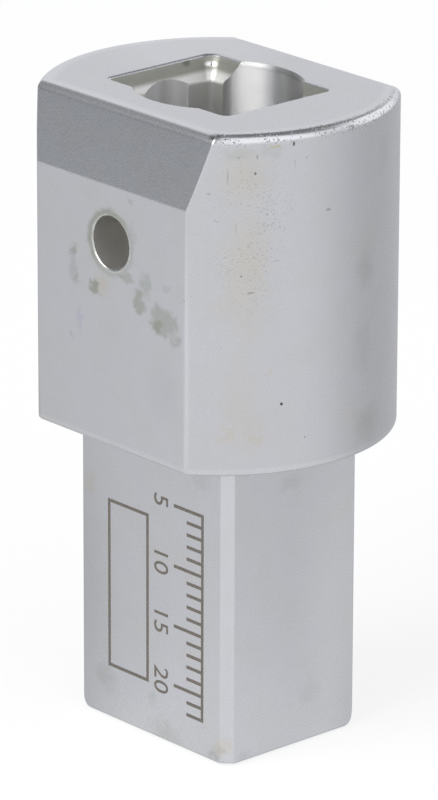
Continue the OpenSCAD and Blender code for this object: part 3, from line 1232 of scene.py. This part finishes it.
@dataclass
class PinSpring:
    """The compression spring behind the pin's collar."""

    steel: Material
    turns: int = 5
    wire_radius: float = 0.35
    coil_radius: float = 3.45
    span_y: Pair = (-3.5, 3.9)
    seat_gap: float = 0.02
    pin_z: float = PIN_Z
    steps_per_turn: int = 48
    wire_sides: int = 12
    pressed_length: float = 4.9
    crease_degrees: float = 50.0

    def build(self) -> Object:
        """Winds the spring.

        Returns:
            The finished spring.
        """
        floor_y, collar_y = self.span_y
        start = floor_y + self.seat_gap + self.wire_radius
        climb = collar_y - self.seat_gap - self.wire_radius - start
        steps = self.turns * self.steps_per_turn
        bm = bmesh.new()
        ring = bmesh.ops.create_circle(bm, cap_ends=False, radius=self.wire_radius,
                                       segments=self.wire_sides)["verts"]
        bmesh.ops.rotate(bm, verts=ring, cent=(0.0, 0.0, 0.0), matrix=Matrix.Rotation(math.pi / 2, 3, "X"))
        bmesh.ops.translate(bm, verts=ring, vec=(self.coil_radius, 0.0, 0.0))
        first = list(bm.edges)
        bmesh.ops.contextual_create(bm, geom=first)
        made = bmesh.ops.spin(bm, geom=first, cent=(0.0, 0.0, 0.0), axis=(0.0, 0.0, 1.0),
                              dvec=(0.0, 0.0, climb / steps), angle=math.tau * self.turns, steps=steps,
                              use_merge=False, use_normal_flip=False, use_duplicate=False)
        last = [part for part in made["geom_last"] if isinstance(part, BMEdge)]
        bmesh.ops.contextual_create(bm, geom=last)
        bmesh.ops.recalc_face_normals(bm, faces=bm.faces)
        bm.transform(along_y(Side.BACK, (0.0, start, self.pin_z)))
        spring = solid("pin_spring_wire", bm, [self.steel])
        finish_piece(spring, "adapter", self.crease_degrees)
        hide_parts("pin_spring")
        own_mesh(spring)
        return spring


@dataclass
class DepthScale:
    """Generic marks etched on the spigot: a depth scale in plain millimetres and an empty field."""

    etched: Material
    face_y: float = -7.0
    proud: float = 0.012
    sunk: float = 0.05
    shoulder_z: float = SHOULDER_Z
    line: float = 0.27
    field_x: Pair = (-4.9, -0.33)
    field_z: Pair = (4.5, 18.35)
    scale_x: float = 6.0
    tick: float = 1.7
    long_tick: float = 3.2
    depths: tuple[int, int] = (5, 22)
    numbered: int = 5
    number_x: float = 1.2
    number_height: float = 2.35
    number_steps: int = 4

    def build(self) -> Object:
        """Builds the marks as one thin piece on the spigot's front face.

        Returns:
            The finished marks.
        """
        bm = bmesh.new()
        left, right = self.field_x
        low, high = self.field_z
        half = self.line / 2
        for z in self.field_z:
            self.bar(bm, (left - half, right + half), (z - half, z + half))
        for x in self.field_x:
            self.bar(bm, (x - half, x + half), (low + half, high - half))
        first, last = self.depths
        top, bottom = self.shoulder_z - first, self.shoulder_z - last
        self.bar(bm, (self.scale_x, self.scale_x + self.line), (bottom - half, top + half))
        for depth in range(first, last + 1):
            reach = self.long_tick if depth % self.numbered == 0 else self.tick
            z = self.shoulder_z - depth
            self.bar(bm, (self.scale_x - reach, self.scale_x), (z - half, z + half))
        for depth in range(first, last + 1, self.numbered):
            self.number(bm, depth)
        marks = solid("depth_scale", bm, [self.etched])
        finish_piece(marks, "adapter")
        return marks

    def bar(self, bm: BMesh, span_x: Pair, span_z: Pair) -> None:
        """Adds one straight line of the marks.

        Args:
            bm: the mesh that it joins.
            span_x: its two ends in X.
            span_z: its two ends in Z.
        """
        made = bmesh.ops.create_cube(bm, size=1.0)["verts"]
        size = (span_x[1] - span_x[0], self.proud + self.sunk, span_z[1] - span_z[0])
        middle = (sum(span_x) / 2, self.face_y + (self.sunk - self.proud) / 2, sum(span_z) / 2)
        bmesh.ops.scale(bm, vec=size, verts=made)
        bmesh.ops.translate(bm, vec=middle, verts=made)

    def number(self, bm: BMesh, depth: int) -> None:
        """Adds the plain number of one depth, read with the head to the left.

        Args:
            bm: the mesh that it joins.
            depth: the depth below the shoulder in millimetres.
        """
        words = bpy.data.curves.new(f"number_{depth}", "FONT")
        words.body, words.size = str(depth), self.number_height
        words.align_x, words.align_y = "CENTER", "CENTER"
        words.extrude = (self.proud + self.sunk) / 2
        words.resolution_u = self.number_steps
        holder = bpy.data.objects.new(words.name, words)
        bpy.context.scene.collection.objects.link(holder)
        graph = bpy.context.evaluated_depsgraph_get()
        mesh = bpy.data.meshes.new_from_object(holder.evaluated_get(graph))
        middle = (self.number_x, self.face_y + (self.sunk - self.proud) / 2, self.shoulder_z - depth)
        reading = Matrix(((0, 1, 0, 0), (0, 0, -1, 0), (-1, 0, 0, 0), (0, 0, 0, 1)))
        mesh.transform(Matrix.Translation(middle) @ reading)
        bm.from_mesh(mesh)
        bpy.data.objects.remove(holder)
        bpy.data.curves.remove(words)
        bpy.data.meshes.remove(mesh)


# Studio


@dataclass(frozen=True)
class PhotoCamera:
    """The camera at the photograph's angle, fitted to the edges of the object."""

    focal_px: float = 5981.7
    azimuth: float = 48.244
    elevation: float = 19.206
    distance: float = 467.57
    target_z: float = 27.0
    right: float = 0.106
    up: float = -0.646
    roll: float = 0.2
    clip: Pair = (0.01, 20.0)

    def place(self) -> Object:
        """Makes the scene's camera.

        Returns:
            The camera.
        """
        azimuth, elevation = math.radians(self.azimuth), math.radians(self.elevation)
        back = Vector((math.sin(azimuth) * math.cos(elevation), -math.cos(azimuth) * math.cos(elevation),
                       math.sin(elevation)))
        right = Vector((math.cos(azimuth), math.sin(azimuth), 0.0))
        up = back.cross(right)
        data = bpy.data.cameras.new("photo_camera")
        data.sensor_width = SENSOR_MM
        data.lens = self.focal_px * SENSOR_MM / IMAGE_HEIGHT_PX
        data.clip_start, data.clip_end = self.clip
        camera = bpy.data.objects.new("photo_camera", data)
        bpy.context.scene.collection.objects.link(camera)
        place = Vector((0.0, 0.0, self.target_z)) + right * self.right + up * self.up + back * self.distance
        facing = Matrix((right, up, back)).transposed() @ Matrix.Rotation(math.radians(self.roll), 3, "Z")
        camera.matrix_world = Matrix.LocRotScale(place * MM, facing.to_quaternion(), None)
        bpy.context.scene.camera = camera
        return camera


def heading(degrees: float, height_degrees: float = 0.0) -> Place:
    """The unit vector of a direction, with its angle counted from +X towards +Y."""
    turn, rise = math.radians(degrees), math.radians(height_degrees)
    return (math.cos(rise) * math.cos(turn), math.cos(rise) * math.sin(turn), math.sin(rise))


@dataclass(frozen=True)
class Panel:
    """A lighter or darker part of the tent. One without a height is upright and runs from foot to top."""

    level: float
    degrees: float
    reach_degrees: Pair
    height_degrees: float | None = None
    foot: Pair | None = None
    top: Pair | None = None
    tint: Colour | None = None

    def mask(self, graph: Graph, way: NodeSocket, flat: NodeSocket, height: NodeSocket) -> NodeSocket:
        """Where the panel is.

        Args:
            graph: the tent's graph.
            way: the direction looked in.
            flat: that direction without its rise.
            height: its rise.

        Returns:
            The mask, with soft borders.
        """
        looked = flat if self.height_degrees is None else way
        near = graph.vector("DOT_PRODUCT", looked, heading(self.degrees, self.height_degrees or 0.0))
        mask = graph.ramp(near, *(math.cos(math.radians(reach)) for reach in self.reach_degrees))
        if self.foot:
            mask = graph.times(mask, graph.ramp(height, *self.foot))
        if self.top:
            mask = graph.times(mask, graph.ramp(height, *self.top, 1.0, 0.0))
        return mask


DARK_CEILING = Panel(0.2, 96.0, (42.0, 28.0), height_degrees=60.0)
FRONT_WALL = Panel(1.5, -30.0, (68.0, 42.0), foot=(-0.02, 0.14), top=(0.86, 0.99))
BACK_WALL = Panel(1.4, 80.0, (36.0, 16.0), height_degrees=20.0)
SEAM = Panel(0.12, -51.0, (10.0, 6.0), foot=(0.1, 0.2))
LOW_GAP = Panel(0.22, 207.0, (42.0, 24.0), foot=(-0.06, 0.0), top=(0.1, 0.6), tint=(0.96, 1.0, 1.08))
SIDE_WINDOW = Panel(4.2, -127.0, (34.0, 13.0), foot=(0.34, 0.46), top=(0.80, 0.92))
UPPER_GAP = Panel(0.33, 205.0, (34.0, 18.0), height_degrees=34.0)


@dataclass(frozen=True)
class Studio:
    """A white tent: a pale floor, walls with brighter parts, dark gaps, a seam and a soft lamp."""

    panels: tuple[Panel, ...] = (DARK_CEILING, FRONT_WALL, BACK_WALL, SEAM, LOW_GAP, SIDE_WINDOW, UPPER_GAP)
    wall_levels: Pair = (0.88, 1.03)
    wall_rise: Pair = (0.36, 0.44)
    wall_tint: Colour = (0.985, 0.99, 1.04)
    horizon: Pair = (-0.03, 0.03)
    floor_size: float = 4.0
    floor_gap: float = 0.0001
    floor_colour: Colour = (0.86, 0.86, 0.86)
    floor_roughness: float = 0.9
    floor_glow: float = 0.8
    floor_centre: Place = (0.0, 0.0, 0.02)
    floor_levels: Pair = (0.555, 0.915)
    floor_turn: Pair = (-0.5, 0.58)
    floor_bright_degrees: float = -50.0
    lamp_watts: float = 3.2
    lamp_size: float = 0.57
    lamp_distance: float = 0.85
    lamp_degrees: float = -88.0
    lamp_height_degrees: float = 38.0

    def build(self) -> None:
        """Makes the world, the floor and the lamp."""
        tent = self.tent_group()
        self.world(tent)
        self.floor(tent)
        self.lamp()

    def tent_group(self) -> NodeTree:
        """The tent's light in each direction.

        Returns:
            The group. Its Light is 1 for white.
        """
        graph, given, out = new_group("tent_light", {"Direction": "Vector"}, {"Light": "Color"})
        way = graph.vector("NORMALIZE", given.outputs["Direction"])
        flat = graph.vector("NORMALIZE", graph.vector("MULTIPLY", way, (1.0, 1.0, 0.0)))
        height = graph.parts(way)[2]
        level = graph.ramp(height, *self.wall_rise, *self.wall_levels)
        tint: Input = self.wall_tint
        for panel in self.panels:
            mask = panel.mask(graph, way, flat, height)
            level = graph.ramp(mask, 0.0, 1.0, level, panel.level)
            if panel.tint:
                tint = graph.mix(mask, tint, panel.tint)
        floor = graph.ramp(graph.vector("DOT_PRODUCT", flat, heading(self.floor_bright_degrees)),
                           *self.floor_turn, *self.floor_levels)
        level = graph.ramp(graph.ramp(height, *self.horizon), 0.0, 1.0, floor, level)
        graph.feed(out.inputs["Light"], graph.vector("MULTIPLY", tint, level))
        return graph.tree

    def world(self, tent: NodeTree) -> None:
        """Makes the world, which the camera sees as plain white.

        Args:
            tent: the tent's light.
        """
        world = bpy.data.worlds.new("tent")
        world.use_nodes = True
        bpy.context.scene.world = world
        graph = Graph(world.node_tree)
        direction = graph.node("ShaderNodeTexCoord").outputs["Generated"]
        light = graph.group(tent, Direction=direction).outputs["Light"]
        seen = graph.node("ShaderNodeLightPath").outputs["Is Camera Ray"]
        graph.feed(world.node_tree.nodes["Background"].inputs["Color"], graph.mix(seen, light, WHITE))

    def floor(self, tent: NodeTree) -> None:
        """Makes the pale floor, which keeps a faint shadow.

        Args:
            tent: the tent's light.
        """
        bm = bmesh.new()
        bmesh.ops.create_grid(bm, x_segments=1, y_segments=1, size=self.floor_size / 2 / MM)
        bmesh.ops.translate(bm, verts=bm.verts, vec=(0.0, 0.0, -self.floor_gap / MM))
        material = bpy.data.materials.new("pale_floor")
        material.use_nodes = True
        graph = Graph(material.node_tree)
        graph.shade({"Base Color": self.floor_colour, "Roughness": self.floor_roughness,
                     "Specular IOR Level": 0.0})
        place = graph.node("ShaderNodeTexCoord").outputs["Object"]
        outward = graph.vector("SUBTRACT", place, self.floor_centre)
        light = graph.group(tent, Direction=outward).outputs["Light"]
        path = graph.node("ShaderNodeLightPath").outputs
        glow = graph.node("ShaderNodeEmission", {"Color": graph.mix(path["Is Camera Ray"], light, WHITE)})
        mirrored = graph.maths("MAXIMUM", path["Is Glossy Ray"], path["Is Transmission Ray"])
        share = graph.times(graph.maths("MAXIMUM", path["Is Camera Ray"], mirrored), self.floor_glow)
        surface = material.node_tree.nodes["Principled BSDF"].outputs[0]
        mixed = graph.node("ShaderNodeMixShader", {0: share, 1: surface, 2: glow.outputs[0]})
        graph.feed(material.node_tree.nodes["Material Output"].inputs["Surface"], mixed.outputs[0])
        floor = solid("pale_floor", bm, [material])
        floor.data.transform(Matrix.Scale(MM, 4))

    def lamp(self) -> None:
        """Makes the soft lamp above and in front of the object."""
        data = bpy.data.lights.new("soft_lamp", "AREA")
        data.shape, data.size, data.energy = "DISK", self.lamp_size, self.lamp_watts
        lamp = bpy.data.objects.new("soft_lamp", data)
        bpy.context.scene.collection.objects.link(lamp)
        place = Vector(heading(self.lamp_degrees, self.lamp_height_degrees)) * self.lamp_distance
        lamp.matrix_world = Matrix.LocRotScale(place, (-place).to_track_quat("-Z", "Y"), None)


def main() -> None:
    """Builds the studio and every piece in order."""
    logging.basicConfig(level=logging.INFO, format="%(name)s: %(message)s")
    scene = bpy.context.scene
    scene.view_settings.view_transform = "Standard"
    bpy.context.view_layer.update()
    PhotoCamera().place()
    Studio().build()
    shared = Shared(soft_mark_group(), metal_grain_group())
    chrome = SatinChrome().build(shared)
    socket_steel = BareSteel("socket_steel", (0.62, 0.62, 0.59), roughness=0.45, bump=0.1,
                             stains=SOCKET_SPOTS_AND_SHADE, worn=WORN_CORNER).build(shared)
    turned_steel = BareSteel("turned_steel", (0.62, 0.62, 0.61), roughness=0.36, bump=0.04, turned=1.0,
                             stains=BORE_PAINTED_LIGHT).build(shared)
    drilled_steel = BareSteel("drilled_steel", (0.54, 0.53, 0.50), roughness=0.5).build(shared)
    pieces = [
        AdapterBody(chrome, socket_steel, turned_steel, drilled_steel),
        RetainingSleeve(BareSteel("sleeve_steel", (0.46, 0.46, 0.46), roughness=0.3).build(shared)),
        LockingPin(BareSteel("pin_steel", (0.40, 0.41, 0.42), roughness=0.25).build(shared)),
        PinSpring(BareSteel("spring_steel", (0.33, 0.33, 0.33), roughness=0.3).build(shared)),
        DepthScale(EtchedMark().build(shared)),
    ]
    for piece in pieces:
        made = piece.build()
        LOG.info("%s: %d faces", made.name, len(made.data.polygons))


if __name__ == "__main__":
    main()
